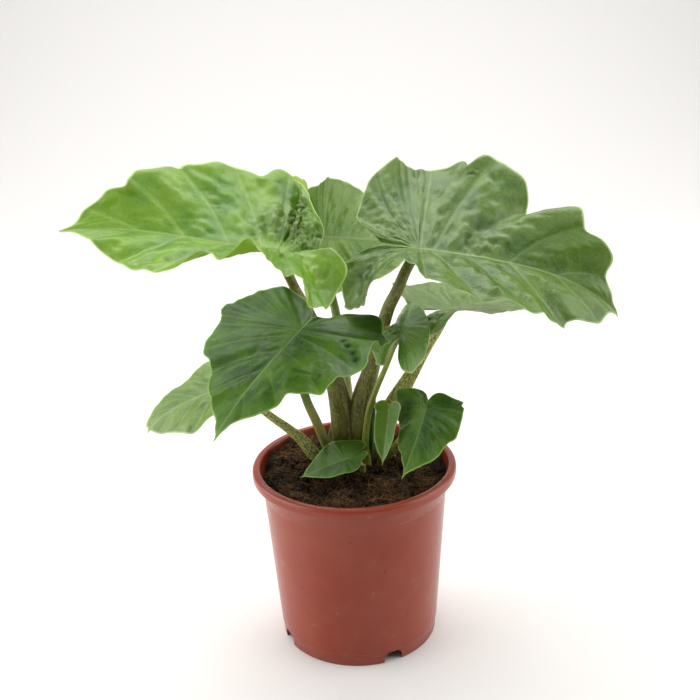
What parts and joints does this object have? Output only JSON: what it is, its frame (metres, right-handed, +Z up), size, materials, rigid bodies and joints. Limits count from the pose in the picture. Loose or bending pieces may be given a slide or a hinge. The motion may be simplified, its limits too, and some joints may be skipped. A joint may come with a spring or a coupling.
{
  "type": "potted giant taro plant",
  "caption": "Giant taro with broad arrow-shaped ribbed leaves on long sheathed stalks, planted in a tapered plastic nursery pot of soil.",
  "frame": {"origin": "on the pot's axis, on the surface that the pot's foot ring stands on", "axes": "+Z up along the pot's axis, -Y towards the viewer of the picture, +X to the viewer's right"},
  "size_m": [0.4819, 0.3391, 0.4545],
  "materials": {
    "pot_plastic": "terracotta-coloured moulded plastic, satin sheen",
    "soil": "dark damp potting mix with coir fibres",
    "leaf_bright": "bright yellow-green leaf, satin",
    "leaf_grey": "grey-green leaf, waxy gloss",
    "leaf_deep": "deep green leaf, waxy gloss",
    "leaf_pale": "pale grey-green leaf, satin",
    "leaf_fresh": "fresh light green leaf, satin",
    "stalk_olive": "olive-brown stalk with pale flecks, smooth",
    "stalk_green": "yellow-green stalk, smooth",
    "stalk_mottled": "olive-yellow stalk mottled with pale flecks",
    "sheath_dry": "dry papery sheath, matt"
  },
  "bodies": {
    "root": {"pot": "pot_plastic", "soil": "soil", "crown": "stalk_olive", "blade_left": "leaf_bright", "blade_right": "leaf_grey", "blade_front": "leaf_deep", "blade_low_left": "leaf_pale", "blade_back": "leaf_fresh", "blade_right_back": "leaf_pale", "blade_middle": "leaf_fresh", "blade_low_right": "leaf_deep", "blade_young": "leaf_fresh", "blade_seedling": "leaf_deep", "stalk_front": "stalk_green", "stalk_low_left": "stalk_mottled", "stalk_back": "stalk_green", "stalk_right_back": "stalk_mottled", "stalk_middle": "stalk_green", "stalk_low_right": "stalk_mottled", "stalk_young": "stalk_green", "stalk_seedling": "stalk_green", "rolled_leaf": "leaf_deep", "dry_sheath": "sheath_dry"}
  },
  "joints": []
}
